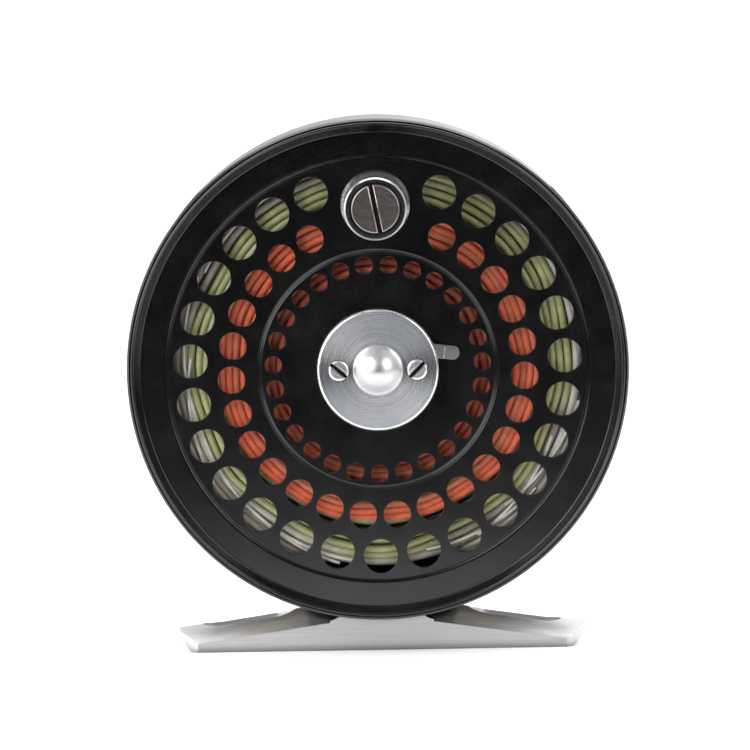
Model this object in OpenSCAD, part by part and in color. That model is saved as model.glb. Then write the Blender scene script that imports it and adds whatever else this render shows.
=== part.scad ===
// Click-and-pawl fly reel on a reel-seat foot.
// The foot's lands rest on z = 0, the spool turns about a Y axis, and the handle side faces -Y.

/* [Frame] */
// Radius of the frame's rim
rim_r = 38.1; // [36:0.1:40]
// Height of the spool axis above the foot's lands
axis_z = 43.4; // [42.6:0.1:46]
// Distance from the spool's mid plane to the front lip of the frame
lip_w = 13.6; // [13.2:0.1:14.5]
// Distance from the spool's mid plane to the outside of the back plate
back_w = 13.6; // [13.2:0.1:15]
// Thickness of the back plate
back_t = 2.2; // [1.8:0.1:2.4]
// Inner radius of the cage bars and bridges
cage_r = 35.2; // [35:0.1:36]
// Span in degrees of the top bridge
top_span = 90; // [60:1:96]
// Span in degrees of the bottom bridge that carries the foot
bottom_span = 36; // [30:1:44]
// Span in degrees of each side bar
bar_span = 8; // [6:0.5:10]

/* [Foot] */
// Length of the reel foot
foot_l = 62.6; // [60:0.1:66]
// Width of the reel foot
foot_w = 13.5; // [13:0.1:14]
// Height of the front edge at the rounded ends
foot_end_h = 1.35; // [1.2:0.05:1.8]
// Slope of each arm, rise over run
arm_slope = 0.146; // [0.13:0.001:0.16]
// Height of the crown across each arm
arm_crown = 2.35; // [1.8:0.05:2.6]
// Radius of the hollow under the foot
under_r = 8.5; // [8:0.1:10]
// Width of each flat land under the foot
land_w = 1.0; // [0.8:0.1:1.5]
// Width of the slot in each arm
slot_w = 6.4; // [5:0.1:7]
// Distance from the centre to the inner end of each slot
slot_in = 13.4; // [13:0.1:15]
// Distance from the centre to the outer end of each slot
slot_out = 27.6; // [25:0.1:28]

/* [Spool] */
// Radius of the spool's rim
spool_r = 37.55; // [37.3:0.05:37.6]
// Front plane of the perforated face
face_w = 12.6; // [12.4:0.05:12.8]
// Crest of the rim bead
bead_w = 14.0; // [13.8:0.05:14.3]
// Radius of the rear flange
rear_r = 34.8; // [34:0.1:34.8]
// Radius of the arbor that the line is wound on
arbor_r = 12.0; // [11.5:0.1:12.5]
// Radius of the outer ring of holes
ring_a_r = 28.45; // [28:0.05:29]
// Diameter of the outer ring's holes
ring_a_d = 5.15; // [4.8:0.05:5.3]
// Radius of the middle ring of holes
ring_b_r = 22.3; // [22:0.05:22.6]
// Diameter of the middle ring's holes
ring_b_d = 4.15; // [3.8:0.05:4.3]
// Radius of the inner ring of holes
ring_c_r = 15.9; // [15.7:0.05:16.1]
// Diameter of the inner ring's holes
ring_c_d = 2.6; // [2.3:0.05:2.8]
// Hole positions round each ring
ring_n = 27; // [27]

/* [Spindle] */
// Radius of the spindle
spindle_r = 2.5; // [2.4:0.05:2.6]
// Radial running clearance in the bushings
run_gap = 0.05; // [0.03:0.01:0.08]

/* [Handle] */
// Distance from the spool axis to the handle axis
handle_at = 25.1; // [24.6:0.1:25.2]
// Length of the handle knob
knob_l = 17.2; // [15:0.1:19]
// Radius of the knob's outer end
knob_r = 4.7; // [4.4:0.05:4.9]
// Radius of the collar under the knob
collar_r = 5.25; // [5:0.05:5.5]

/* [Latch] */
// Radius of the latch cover
cover_r = 9.25; // [9:0.05:9.5]
// Distance of each cover screw from the axis
cover_screw_at = 5.95; // [5.8:0.05:6.1]
// Distance from the axis to the lever's tip
lever_tip = 12.4; // [12:0.1:13]

/* [Click gear] */
// Number of teeth on the click gear
gear_n = 24; // [24]
// Tip radius of the click gear
gear_r = 8.4; // [8:0.1:8.6]

/* [Drag regulator] */
// Distance from the spool axis to the regulator's axis
drag_at = 18.5; // [18:0.1:19]
// Radius of the regulator knob
drag_r = 4.6; // [4:0.1:5]

/* [Hidden] */
$fn = 96;

plate_in = -back_w + back_t;            // inner face of the back plate
ring_in = 9.2;                          // inner face of the front ring
wall_l = ring_in - plate_in;            // length of the bars and bridges
bar_mid = (cage_r + rim_r) / 2;         // pitch radius of the frame screws
screw_angles = [0, 180, 51, 90, 129, 256, 284];
pawl_pivot = [-9.6, 10.6];
pawl_tip_r = 7.45;
handle_w0 = face_w;                     // the collar sits on the spool's face
collar_h = 1.3;
knob_w0 = handle_w0 + collar_h + 0.15;
knob_w1 = knob_w0 + knob_l;
lever_w0 = 12.72;
lever_w1 = 13.5;
latch_shift = 0.72;                     // the lever's hole sits this much off the axis when latched

// Local frame: x right, y up, z towards the handle side, origin on the spool axis
module reel() { translate([0, 0, axis_z]) rotate([90, 0, 0]) children(); }
module at(w) { translate([0, 0, w]) children(); }
module polar(r, a) { rotate([0, 0, a]) translate([r, 0, 0]) children(); }
module tube(ro, ri, w0, w1) {
  at(w0) difference() {
    cylinder(r = ro, h = w1 - w0);
    translate([0, 0, -1]) cylinder(r = ri, h = w1 - w0 + 2);
  }
}
module disc(r, w0, w1) { at(w0) cylinder(r = r, h = w1 - w0); }
module arc_wall(ri, ro, w0, w1, mid, span) {
  at(w0) rotate([0, 0, mid - span / 2]) rotate_extrude(angle = span)
    translate([ri, 0]) square([ro - ri, w1 - w0]);
}
// Countersunk slotted screw along +z: head's flat at z = 0, shank going to -z
module flat_screw(hr, sr, hh, l, slot) {
  difference() {
    rotate_extrude() polygon([[0, 0], [hr, 0], [hr, -0.15], [sr, -hh], [sr, -l], [0, -l]]);
    translate([-hr - 1, -slot / 2, -hh * 0.5]) cube([2 * hr + 2, slot, hh]);
  }
}
module flat_screw_hole(hr, sr, hh, l, gap) {
  rotate_extrude() polygon([[0, 1], [hr + gap, 1], [hr + gap, -0.15 - gap], [sr + gap, -hh - gap], [sr + gap, -l - 0.3], [0, -l - 0.3]]);
}

/* ---------- frame ---------- */
module back_plate() color("#1b1b1d") reel() difference() {
  union() {
    at(-back_w) rotate_extrude() polygon([[0, 0], [rim_r - 0.8, 0], [rim_r, 0.8], [rim_r, back_t], [0, back_t]]);
    at(-back_w - 0.9) rotate_extrude() polygon([[0, 0], [8.6, 0], [9.2, 0.6], [9.2, 1.0], [0, 1.0]]);
  }
  // spindle bore
  at(-back_w - 3) cylinder(r = 3.0, h = 8);
  // lightening holes
  for (k = [0:23]) polar(30, 7.5 + 15 * k) at(-back_w - 2) cylinder(r = 2.4, h = 6, $fn = 48);
  for (k = [0:17]) if (k != 13 && k != 14 && k != 12) polar(23.4, 10 + 20 * k) at(-back_w - 2) cylinder(r = 1.9, h = 6, $fn = 48);
  // groove round the perforated zone
  at(-back_w - 0.1) difference() { cylinder(r = 34.2, h = 0.4); translate([0, 0, -1]) cylinder(r = 33.6, h = 3); }
  // frame screws
  for (a = screw_angles) polar(bar_mid, a) at(-back_w) mirror([0, 0, 1]) flat_screw_hole(1.3, 0.75, 0.8, 5, 0.03);
  // spindle flange screws
  for (a = [30, 150, 270]) polar(4.9, a) at(-back_w - 2) cylinder(r = 0.62, h = 6, $fn = 32);
  // pawl posts and spring pins, riveted through
  for (m = [0, 180]) rotate([0, 0, m]) {
    translate([pawl_pivot[0], pawl_pivot[1], -back_w - 1]) cylinder(r = 1.0, h = 6, $fn = 32);
    translate([-2.2, 13.7, -back_w - 1]) cylinder(r = 0.7, h = 6, $fn = 32);
  }
  // regulator shaft
  translate([0, -drag_at, -back_w - 2]) cylinder(r = 1.56, h = 6);
}

module front_ring() color("#1b1b1d") reel() difference() {
  rotate_extrude() polygon([
    [cage_r, ring_in], [rim_r, ring_in], [rim_r, lip_w - 0.4], [rim_r - 0.3, lip_w], [spool_r + 0.15, lip_w],
    [spool_r + 0.15, 10.6], [cage_r, 10.6]]);
  for (a = screw_angles) polar(bar_mid, a) at(10.6) flat_screw_hole(1.2, 0.75, 0.7, 5, 0.03);
}

module wall_screw_bores(list) {
  for (a = list) polar(bar_mid, a) {
    at(plate_in - 1) cylinder(r = 0.78, h = 5.5, $fn = 32);
    at(ring_in - 5) cylinder(r = 0.78, h = 6, $fn = 32);
  }
}
module top_bridge() color("#1b1b1d") reel() difference() {
  arc_wall(cage_r, rim_r, plate_in, ring_in, 90, top_span);
  wall_screw_bores([51, 90, 129]);
}
module bottom_bridge() color("#1b1b1d") reel() difference() {
  arc_wall(cage_r, rim_r, plate_in, ring_in, 270, bottom_span);
  wall_screw_bores([256, 284]);
  for (s = [-1, 1]) translate([s * 5, -rim_r - 3, 0]) rotate([-90, 0, 0]) cylinder(r = 1.28, h = 8, $fn = 48);
}
module cage_bars() color("#1b1b1d") reel() difference() {
  union() for (a = [0, 180]) arc_wall(cage_r, rim_r, plate_in, ring_in, a, bar_span);
  wall_screw_bores([0, 180]);
}
module frame_screws() color("silver") reel()
  for (a = screw_angles) polar(bar_mid, a) at(-back_w) mirror([0, 0, 1]) rotate([0, 0, 37 * a]) flat_screw(1.3, 0.75, 0.8, 5, 0.4, $fn = 48);
module ring_screws() color("silver") reel()
  for (a = screw_angles) polar(bar_mid, a) at(10.6) rotate([0, 0, 53 * a + 20]) flat_screw(1.2, 0.75, 0.7, 5, 0.4, $fn = 48);

/* ---------- foot ---------- */
arm_tilt = atan(arm_slope);
foot_hl = foot_l / 2;
corner_x = foot_hl - 3.05;              // where the front edge of an arm ends
arm_r = (pow(foot_w / 2, 2) + pow(arm_crown, 2)) / (2 * arm_crown);
pad_x = 5.3;                            // half width of the centre pad at the front face
module arm_crown_solid() {
  // right arm: a tilted cylinder makes the crown, its front and back edges rise at arm_slope
  translate([corner_x, 0, foot_end_h + arm_crown]) rotate([0, arm_tilt, 0])
    translate([-60, 0, -arm_r]) rotate([0, 90, 0]) cylinder(r = arm_r, h = 80, $fn = 160);
}
module foot_plan() {
  intersection() {
    square([foot_l, foot_w], center = true);
    union() {
      square([2 * (foot_hl - 9), foot_w + 2], center = true);
      for (s = [-1, 1]) translate([s * (foot_hl - 9), 0]) circle(r = 9, $fn = 160);
    }
  }
}
function edge_h(x) = foot_end_h + (corner_x - x) * arm_slope;
cove_r = 3.2;
module pad_block() {
  // centre pad with coved flanks that run into the arms
  difference() {
    translate([-pad_x - 2.6, -foot_w / 2, 1]) cube([2 * pad_x + 5.2, foot_w, 9]);
    for (s = [-1, 1]) translate([s * (pad_x + cove_r), -20, edge_h(pad_x + 2) + cove_r + 0.15]) rotate([-90, 0, 0]) cylinder(r = cove_r, h = 40, $fn = 96);
    for (s = [-1, 1]) translate([s * (pad_x + cove_r) - cove_r, -20, edge_h(pad_x + 2) + cove_r + 0.15]) cube([2 * cove_r, 40, 10]);
  }
}
module foot() color("#c9cacc") difference() {
  intersection() {
    translate([0, 0, -1]) linear_extrude(height = 14) foot_plan();
    union() {
      for (m = [0, 1]) mirror([m, 0, 0]) intersection() {
        arm_crown_solid();
        translate([0, -10, -2]) cube([40, 20, 14]);
      }
      pad_block();
    }
  }
  // flat lands on z = 0
  translate([-50, -20, -20]) cube([100, 40, 20]);
  // saddle that seats the frame
  translate([0, 20, axis_z]) rotate([90, 0, 0]) cylinder(r = rim_r, h = 40, $fn = 256);
  // hollow underside
  translate([-50, 0, -sqrt(pow(under_r, 2) - pow(foot_w / 2 - land_w, 2))]) rotate([0, 90, 0]) cylinder(r = under_r, h = 100, $fn = 128);
  // slots with round ends
  for (s = [-1, 1]) translate([0, 0, -1]) {
    for (x = [slot_in + slot_w / 2, slot_out - slot_w / 2]) translate([s * x, 0, 0]) cylinder(r = slot_w / 2, h = 12);
    translate([s * (slot_in + slot_out) / 2 - (slot_out - slot_in - slot_w) / 2, -slot_w / 2, 0]) cube([slot_out - slot_in - slot_w, slot_w, 12]);
  }
  // screw holes
  for (s = [-1, 1]) translate([s * 5, 0, foot_screw_z]) rotate([180, 0, 0]) flat_screw_hole(2.2, 1.25, 1.1, 8, 0.03);
}
foot_screw_z = 1.85;
module foot_screws() color("silver")
  for (s = [-1, 1]) translate([s * 5, 0, foot_screw_z]) rotate([180, 0, 0]) rotate([0, 0, 25 + 40 * s]) flat_screw(2.2, 1.25, 1.1, 6.2, 0.6, $fn = 64);

/* ---------- spindle ---------- */
module spindle() color("#d0d2d4") reel() difference() {
  rotate_extrude() polygon([
    [0, -back_w - 1.2], [2.95, -back_w - 1.2], [2.95, plate_in], [6.0, plate_in], [6.0, plate_in + 0.9], [3.3, plate_in + 0.9],
    [3.3, plate_in + 1.2], [spindle_r, plate_in + 1.2], [spindle_r, 12.3], [1.9, 12.5], [1.9, 13.7], [2.35, 13.75], [2.35, 14.3], [1.6, 15.15], [0, 15.15]]);
  for (a = [30, 150, 270]) polar(4.9, a) at(plate_in - 1) cylinder(r = 0.62, h = 4, $fn = 32);
  at(-back_w - 1.3) cylinder(r = 1.1, h = 2.2);
  translate([-4, -0.35, -back_w - 1.4]) cube([8, 0.7, 0.9]);
}
module spindle_screws() color("silver") reel()
  for (a = [30, 150, 270]) polar(4.9, a) difference() {
    union() { disc(0.6, -back_w + 0.4, plate_in + 0.9); disc(1.0, plate_in + 0.9, plate_in + 1.35); }
    rotate([0, 0, 40]) translate([-2, -0.15, plate_in + 1.15]) cube([4, 0.3, 1]);
  }

/* ---------- click pawls ---------- */
pawl_w0 = -9.95;
pawl_w1 = -8.75;
module pawl_posts() color("silver") reel()
  for (m = [0, 180]) rotate([0, 0, m]) translate([pawl_pivot[0], pawl_pivot[1], 0]) difference() {
    union() {
      disc(0.98, -back_w + 0.1, plate_in);
      disc(1.1, plate_in, pawl_w1 + 0.1);
      disc(1.7, pawl_w1 + 0.05, pawl_w1 + 0.45);
    }
    rotate([0, 0, 30]) translate([-3, -0.2, pawl_w1 + 0.28]) cube([6, 0.4, 1]);
  }
module spring_pins() color("silver") reel()
  for (m = [0, 180]) rotate([0, 0, m]) translate([-2.2, 13.7, 0]) {
    disc(0.68, -back_w + 0.1, plate_in);
    disc(0.9, plate_in, pawl_w0);
  }
module pawl_shape() {
  // lever from its pivot to a wedge tooth over the gear
  difference() {
    union() {
      circle(r = 2.1, $fn = 48);
      polygon([[0, -1.5], [8.4, -0.75], [8.95, -1.1], [9.45, -3.1], [9.75, -3.1], [10.4, -0.9], [10.9, 0.3], [10.3, 0.9], [7, 1.15], [0, 2.0]]);
    }
    circle(r = 1.16, $fn = 48);
  }
}
module pawl_at() translate([pawl_pivot[0], pawl_pivot[1], 0]) {
  at(pawl_w0) linear_extrude(height = pawl_w1 - pawl_w0) pawl_shape();
  // peg that the spring's leg bears on
  translate([5, 0.13, -10.85]) cylinder(r = 0.5, h = 1.2, $fn = 32);
}
module pawl_a() color("#b08d57") reel() pawl_at();
module pawl_b() color("#b08d57") reel() rotate([0, 0, 180]) pawl_at();
// Flat wire straight from p to q, its underside at height w
module wire(p, q, w, t) {
  d = q - p;
  translate([p[0], p[1], w]) rotate([0, 0, atan2(d[1], d[0])]) translate([0, -t / 2, 0]) cube([norm(d), t, t]);
}
// Spring: a coil round the pawl post, one leg under its pin and one leg over the pawl's peg
module spring_shape() {
  translate([pawl_pivot[0], pawl_pivot[1], 0]) {
    tube(1.65, 1.22, -11.2, -10.4);
    wire([1.4, -0.3], [7.6, 2.0], -11.2, 0.4);
    wire([0, 1.4], [6.2, 0.8], -10.8, 0.4);
  }
}
module pawl_spring_a() color("silver") reel() spring_shape();
module pawl_spring_b() color("silver") reel() rotate([0, 0, 180]) spring_shape();

/* ---------- drag regulator ---------- */
module drag_knob() color("#2a2a2c") reel() translate([0, -drag_at, 0]) difference() {
  union() {
    at(-back_w - 4.1) rotate_extrude() polygon([[0, 0], [drag_r - 0.5, 0], [drag_r, 0.5], [drag_r, 3.2], [drag_r - 0.4, 3.6], [0, 3.6]]);
    disc(1.5, -back_w - 1, plate_in + 0.35);
  }
  for (k = [0:17]) polar(drag_r + 0.25, 20 * k) at(-back_w - 5) cylinder(r = 0.55, h = 6, $fn = 24);
  at(-back_w - 5) cylinder(r = 1.9, h = 1.8);
  at(-back_w - 5) cylinder(r = 0.82, h = 9, $fn = 32);
}
module drag_washer() color("#b08d57") reel() translate([0, -drag_at, 0]) tube(3.6, 1.62, -back_w - 0.4, -back_w);
module drag_cam() color("#b08d57") reel() translate([0, -drag_at, 0]) difference() {
  translate([0, 0.7, plate_in + 0.35]) cylinder(r = 2.7, h = 1.1);
  at(plate_in) cylinder(r = 0.82, h = 3, $fn = 32);
}
module drag_screw() color("silver") reel() translate([0, -drag_at, 0]) difference() {
  union() { disc(0.8, -back_w - 3.2, plate_in + 1.4); disc(1.6, -back_w - 4.0, -back_w - 3.2); }
  rotate([0, 0, 15]) translate([-3, -0.2, -back_w - 4.1]) cube([6, 0.4, 0.5]);
}

/* ---------- spool ---------- */
module spool() color("#161617") reel() difference() {
  union() {
    // turned body: hub, arbor, rear flange and front flange with its bead
    rotate_extrude($fn = 256) polygon([
      [3.6, -8.0], [6.6, -8.0], [6.6, 9.6], [arbor_r - 1.3, 9.6], [arbor_r - 1.3, -8.0],
      [rear_r - 0.3, -8.0], [rear_r, -7.7], [rear_r, -7.2], [rear_r - 0.3, -6.9], [arbor_r, -6.9], [arbor_r, 11.0], [35.2, 11.0], [36.0, 10.75],
      [spool_r - 0.15, 10.75], [spool_r, 10.9], [spool_r, bead_w - 0.35], [spool_r - 0.03, bead_w - 0.25], [spool_r - 0.1, bead_w - 0.1], [spool_r - 0.2, bead_w],
      [37.25, bead_w - 0.05], [37.15, bead_w - 0.12], [36.1, face_w], [32.45, face_w], [32.3, face_w - 0.3], [32.0, face_w - 0.3], [31.85, face_w],
      [18.3, face_w], [18.15, face_w - 0.25], [17.85, face_w - 0.25], [17.7, face_w], [3.6, face_w]]);
  }
  // three rings of holes, with gaps round the handle
  for (k = [0:ring_n - 1]) if (k != 0 && k != ring_n - 1) polar(ring_a_r, 90 + (k + 0.5) * 360 / ring_n) at(9) cylinder(d = ring_a_d, h = 6, $fn = 64);
  for (k = [2:ring_n - 2]) polar(ring_b_r, 90 + k * 360 / ring_n) at(9) cylinder(d = ring_b_d, h = 6, $fn = 56);
  for (k = [0:ring_n - 1]) polar(ring_c_r, 90 + (k + 0.5) * 360 / ring_n) at(9) cylinder(d = ring_c_d, h = 6, $fn = 40);
  // threads for the cover screws and the handle post
  for (s = [-1, 1]) translate([s * cover_screw_at, 0, 9.8]) cylinder(r = 0.82, h = 6, $fn = 32);
  translate([0, handle_at, 9]) cylinder(r = 1.62, h = 6, $fn = 48);
  // gear screws
  for (a = [90, 210, 330]) polar(5.1, a) at(-9) cylinder(r = 0.55, h = 4, $fn = 32);
}
module bushing(w0, w1) { tube(3.58, spindle_r + run_gap, w0, w1); }
module bushing_front() color("#b5894a") reel() bushing(7.4, 12.1);
module bushing_rear() color("#b5894a") reel() bushing(-7.9, -3.4);

function tooth(n, ro, ri) = [for (k = [0:n - 1]) for (q = [[-0.5, ri], [-0.32, ri], [-0.06, ro], [0.06, ro], [0.32, ri]])
  let (a = 90 + (k + 0.5 + q[0]) * 360 / n) [q[1] * cos(a), q[1] * sin(a)]];
module click_gear() color("#c2a066") reel() difference() {
  at(-9.5) linear_extrude(height = 1.5) polygon(tooth(gear_n, gear_r, gear_r - 1.25));
  at(-11) cylinder(r = 3.7, h = 4);
  for (a = [90, 210, 330]) polar(5.1, a) at(-11) cylinder(r = 0.6, h = 4, $fn = 32);
}
module gear_screws() color("silver") reel()
  for (a = [90, 210, 330]) polar(5.1, a) difference() {
    union() { disc(0.54, -9.5, -5.6); disc(1.05, -9.85, -9.5); }
    rotate([0, 0, 20]) translate([-2, -0.15, -9.9]) cube([4, 0.3, 0.2]);
  }

/* ---------- latch ---------- */
cover_w0 = face_w;
cover_skirt = 1.0;
cover_w1 = 14.45;
module latch_cover() color("#cfd1d3") reel() difference() {
  rotate_extrude($fn = 160) polygon([
    [2.6, 13.65], [8.35, 13.65], [8.35, cover_w0], [cover_r, cover_w0], [cover_r, cover_w1 - 0.45], [cover_r - 0.45, cover_w1],
    [3.9, cover_w1], [3.74, cover_w1 + 0.06], [3.67, cover_w1 + 0.18], [3.52, cover_w1 + 0.42], [3.2, cover_w1 + 0.88], [2.8, cover_w1 + 1.3],
    [2.35, cover_w1 + 1.7], [1.8, cover_w1 + 2.07], [1.2, cover_w1 + 2.36], [0.6, cover_w1 + 2.54], [0, cover_w1 + 2.6],
    [0, 15.6], [1.9, 15.6], [2.6, 15.0]]);
  for (s = [-1, 1]) translate([s * cover_screw_at, 0, 12]) cylinder(r = 0.85, h = 5, $fn = 32);
  for (s = [-1, 1]) translate([s * cover_screw_at, 0, cover_w1 - 0.35]) cylinder(r = 1.62, h = 2, $fn = 48);
  // window for the lever's tab
  translate([6, -1.1, cover_w0 - 0.5]) cube([6, 6.0, 1.5]);
}
module latch_screws() color("silver") reel()
  for (s = [-1, 1]) translate([s * cover_screw_at, 0, 0]) difference() {
    union() {
      disc(0.8, 9.9, cover_w1 - 0.3);
      at(cover_w1 - 0.35) rotate_extrude() polygon([[0, 0], [1.55, 0], [1.55, 0.35], [1.3, 0.7], [0, 0.8]]);
    }
    rotate([0, 0, s > 0 ? 45 : -40]) translate([-3, -0.22, cover_w1 - 0.05]) cube([6, 0.44, 2]);
  }
module lever_shape() {
  difference() {
    union() {
      circle(r = 4.6, $fn = 64);
      translate([-cover_screw_at, -latch_shift]) circle(r = 1.7, $fn = 48);
      polygon([[-cover_screw_at, -latch_shift - 1.6], [0, -4.4], [0, 4.4], [-cover_screw_at, -latch_shift + 1.6]]);
    }
    circle(r = 2.75, $fn = 64);
    translate([-cover_screw_at, -latch_shift]) circle(r = 0.86, $fn = 32);
    // clearance round the right cover screw over the lever's swing
    translate([cover_screw_at, -latch_shift]) circle(r = 1.9, $fn = 48);
    translate([cover_screw_at, -latch_shift + 1.0]) circle(r = 1.9, $fn = 48);
  }
}
tab_a = -7;
module latch_lever() color("#d4d6d8") reel() {
  difference() {
    union() {
      translate([0, latch_shift, lever_w0]) linear_extrude(height = lever_w1 - lever_w0) lever_shape();
      // tab with a round end
      translate([lever_tip - 1.03, 2.4, lever_w0]) rotate([0, 0, tab_a]) {
        cylinder(r = 1.03, h = lever_w1 - lever_w0, $fn = 48);
        translate([-8.6, -1.03, 0]) cube([8.6, 2.06, lever_w1 - lever_w0]);
      }
    }
    translate([0, latch_shift, 0]) at(lever_w0 - 1) cylinder(r = 2.75, h = 3);
    // the right cover screw's path through the lever over its swing
    for (a = [0, 2.4, 4.8, 7.2]) translate([-cover_screw_at, 0, lever_w0 - 1]) rotate([0, 0, a]) translate([2 * cover_screw_at, 0, 0]) cylinder(r = 1.0, h = 3, $fn = 32);
    translate([lever_tip - 2.3, 1.65, lever_w1 - 0.1]) rotate([0, 0, 90 + tab_a]) cube([1.5, 0.15, 0.3]);
  }
}
module latch_spring() color("silver") reel() {
  wire([-1.6, -6.9], [4.5, -6.3], lever_w0 + 0.2, 0.36);
  wire([4.4, -6.4], [-1.0, -4.05], lever_w0 + 0.2, 0.36);
}

/* ---------- handle ---------- */
module handle_at() { reel() translate([0, handle_at, 0]) children(); }
module handle_post() color("#c8cacc") handle_at() {
  disc(1.6, 11.05, face_w + 0.1);
  disc(1.85, face_w, knob_w1 - 0.75);
}
module handle_collar() color("#d0d2d4") handle_at() difference() {
  at(handle_w0) rotate_extrude() polygon([[1.9, 0], [collar_r - 0.15, 0], [collar_r, 0.15], [collar_r, 0.75], [collar_r - 0.5, collar_h], [1.9, collar_h]]);
}
module handle_knob() color("#c4c6c8") handle_at() rotate_extrude($fn = 128) polygon([
  [2.75, knob_w0], [4.25, knob_w0], [4.4, knob_w0 + 0.2], [4.3, knob_w0 + 1.2], [3.95, knob_w0 + 3.4], [3.8, knob_w0 + 6], [3.85, knob_w0 + 9],
  [4.1, knob_w0 + 12], [4.5, knob_w1 - 2.2], [knob_r, knob_w1 - 1.0], [knob_r, knob_w1 - 0.3], [knob_r - 0.25, knob_w1], [4.05, knob_w1], [3.95, knob_w1 - 0.9], [2.75, knob_w1 - 0.9]]);
module handle_sleeve() color("#b5894a") handle_at() tube(2.72, 1.9, knob_w0, knob_w1 - 0.95);
module handle_screw() color("#6e6156") handle_at() difference() {
  union() {
    at(knob_w1 - 0.75) rotate_extrude() polygon([[0, 0], [3.55, 0], [3.55, 0.55], [3.3, 0.85], [0, 0.95]]);
  }
  rotate([0, 0, 101]) translate([-5, -0.42, knob_w1 - 0.3]) cube([10, 0.84, 2]);
}

/* ---------- line ---------- */
module winding(ro, ri) { tube(ro, ri, -6.85, 10.95); }
module backing() color("#c8492c") reel() winding(23.6, arbor_r + 0.02);
module fly_line() color("#7f8a4e") reel() winding(29.2, 23.62);
module leader() color("#8d877c") reel() winding(31.0, 29.22);

back_plate();
front_ring();
top_bridge();
bottom_bridge();
cage_bars();
frame_screws();
ring_screws();
foot();
foot_screws();
spindle();
spindle_screws();
pawl_posts();
spring_pins();
pawl_spring_a();
pawl_spring_b();
drag_washer();
pawl_a();
pawl_b();
drag_knob();
drag_cam();
drag_screw();
spool();
bushing_front();
bushing_rear();
click_gear();
gear_screws();
latch_cover();
latch_screws();
latch_spring();
latch_lever();
handle_post();
handle_collar();
handle_screw();
handle_knob();
handle_sleeve();
backing();
fly_line();
leader();
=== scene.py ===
import math
import random

import bpy
import bmesh
import numpy as np
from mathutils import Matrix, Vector


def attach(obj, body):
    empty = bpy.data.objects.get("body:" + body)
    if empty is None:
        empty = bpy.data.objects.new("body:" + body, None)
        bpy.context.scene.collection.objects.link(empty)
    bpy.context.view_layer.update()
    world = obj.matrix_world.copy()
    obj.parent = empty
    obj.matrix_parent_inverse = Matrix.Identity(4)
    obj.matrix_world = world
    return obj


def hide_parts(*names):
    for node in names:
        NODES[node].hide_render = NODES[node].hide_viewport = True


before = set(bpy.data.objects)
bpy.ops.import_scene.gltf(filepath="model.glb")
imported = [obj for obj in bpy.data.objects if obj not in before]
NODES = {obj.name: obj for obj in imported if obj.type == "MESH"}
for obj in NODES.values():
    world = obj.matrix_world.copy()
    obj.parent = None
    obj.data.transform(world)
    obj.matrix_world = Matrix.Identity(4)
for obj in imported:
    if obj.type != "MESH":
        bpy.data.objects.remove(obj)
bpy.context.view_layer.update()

ZC = 43.4          # spool axis above the lands, mm
MM = 0.001
rng = random.Random(7)
scene = bpy.context.scene
coll = scene.collection


# ------------------------------------------------------------------ helpers
def world_pt(x, y, w):
    """Local reel coordinates (x right, y up, w to the front), mm, to the row frame, m."""
    return Vector((x * MM, -w * MM, (y + ZC) * MM))


def new_obj(name, verts, faces, origin=(0.0, 0.0, 0.0), smooth=True, sharp=32.0):
    me = bpy.data.meshes.new(name)
    me.from_pydata([tuple(v) for v in verts], [], faces)
    me.validate()
    ob = bpy.data.objects.new(name, me)
    ob.location = origin
    coll.objects.link(ob)
    bm = bmesh.new()
    bm.from_mesh(me)
    bmesh.ops.recalc_face_normals(bm, faces=bm.faces)
    bm.to_mesh(me)
    bm.free()
    if smooth:
        me.shade_smooth()
        me.set_sharp_from_angle(angle=math.radians(sharp))
    return ob


AXIS = (0.0, 0.0, ZC * MM)


def lathe(name, prof, segs=256, at=(0.0, 0.0), closed=True, sharp=28.0, angle=(0.0, 360.0)):
    """Revolves (r, w) points about the reel's axis direction through local (x, y) = at. Object origin is on that axis."""
    ox, oy = at
    dense = []
    cnt = len(prof)
    for i, (r, w) in enumerate(prof):
        dense.append((r, w))
        if i == cnt - 1 and not closed:
            break
        r2, w2 = prof[(i + 1) % cnt]
        ln = math.hypot(r2 - r, w2 - w)
        if ln > 0.35:
            for f in (0.05 / ln, 1 - 0.05 / ln):
                dense.append((r + (r2 - r) * f, w + (w2 - w) * f))
    prof = dense
    full = abs(angle[1] - angle[0]) >= 359.99
    n = segs
    cols = n if full else n + 1
    verts, idx = [], []
    for (r, w) in prof:
        if r < 1e-6:
            idx.append([len(verts)] * cols)
            verts.append((0.0, -w * MM, 0.0))
        else:
            row = []
            for k in range(cols):
                t = math.radians(angle[0] + (angle[1] - angle[0]) * k / n)
                row.append(len(verts))
                verts.append((r * math.cos(t) * MM, -w * MM, r * math.sin(t) * MM))
            idx.append(row)
    faces = []
    m = len(prof)
    for i in range(m if closed else m - 1):
        a, b = idx[i], idx[(i + 1) % m]
        for k in range(n):
            k2 = (k + 1) % cols if full else k + 1
            q = [a[k], a[k2], b[k2], b[k]]
            f = []
            for v in q:
                if v not in f:
                    f.append(v)
            if len(f) >= 3:
                faces.append(f)
    if not full and closed:
        faces.append([row[0] for row in idx])
        faces.append([row[-1] for row in reversed(idx)])
    return new_obj(name, verts, faces, origin=(ox * MM, 0.0, (ZC + oy) * MM), sharp=sharp)


def circle_pts(cx, cy, r, n):
    return [(cx + r * math.cos(2 * math.pi * k / n), cy + r * math.sin(2 * math.pi * k / n)) for k in range(n)]


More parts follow.
